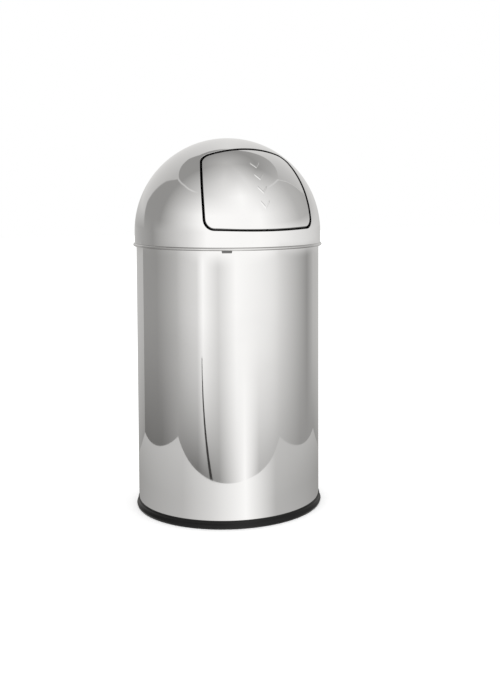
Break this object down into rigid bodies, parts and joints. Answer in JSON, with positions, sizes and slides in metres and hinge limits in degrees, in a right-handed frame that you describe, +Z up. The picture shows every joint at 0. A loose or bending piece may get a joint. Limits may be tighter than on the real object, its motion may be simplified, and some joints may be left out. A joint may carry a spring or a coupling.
{
  "type": "dome top waste receptacle",
  "caption": "Round free-standing litter bin: polished steel tube body on a black edge ring, lift-off dome with a sprung push flap, galvanised inner bucket with a bail.",
  "frame": {"origin": "on the floor, in the middle of the base ring's underside", "axes": "+Z up along the bin's axis, -Y out through the mouth and its flap, +X to the right of someone facing the mouth"},
  "size_m": [0.3456, 0.3456, 0.675],
  "materials": {
    "polished_stainless": "mirror polished stainless steel",
    "plain_stainless": "mill finish stainless steel, inside pieces",
    "black_rubber": "black moulded rubber, satin",
    "galvanised_steel": "hot dip galvanised sheet with a faint spangle",
    "zinc_wire": "bright zinc plated wire and rivets",
    "spring_wire": "oiled spring steel wire"
  },
  "bodies": {
    "body": {"body_shell": "polished_stainless", "base_plate": "plain_stainless", "base_ring": "black_rubber", "rest_studs": "black_rubber"},
    "dome": {"dome_shell": "polished_stainless", "hinge_bracket_left": "plain_stainless", "hinge_bracket_right": "plain_stainless", "hinge_rod": "plain_stainless", "rod_clips": "spring_wire", "closing_spring_left": "spring_wire", "closing_spring_right": "spring_wire"},
    "flap": {"flap_panel": "polished_stainless", "flap_arm_left": "plain_stainless", "flap_arm_right": "plain_stainless", "stop_plate": "plain_stainless", "stop_buffers": "black_rubber"},
    "bucket": {"bucket_shell": "galvanised_steel", "bucket_base": "galvanised_steel", "bail_ear_left": "galvanised_steel", "bail_ear_right": "galvanised_steel", "ear_rivets": "zinc_wire"},
    "bail": {"bail": "zinc_wire"}
  },
  "joints": [
    {"name": "dome_lift", "type": "slide", "parent": "body", "child": "dome", "axis": [0, 0, 1], "range_m": [0, 0.75]},
    {"name": "flap_hinge", "type": "hinge", "parent": "dome", "child": "flap", "pos_m": [0, -0.06982, 0.63439], "axis": [1, 0, 0], "range_deg": [0, 50], "stiffness_Nm_per_rad": 0.35, "springref_deg": -51.57, "deforming": ["closing_spring_left", "closing_spring_right"]},
    {"name": "bucket_lift", "type": "slide", "parent": "body", "child": "bucket", "axis": [0, 0, 1], "range_m": [0, 0.5]},
    {"name": "bail_swing", "type": "hinge", "parent": "bucket", "child": "bail", "pos_m": [0, 0, 0.488], "axis": [1, 0, 0], "range_deg": [0, 181.92]}
  ],
  "couplings": [
    {"joint": "bucket_lift", "follows": "dome_lift", "ratio": 0.66667}
  ]
}
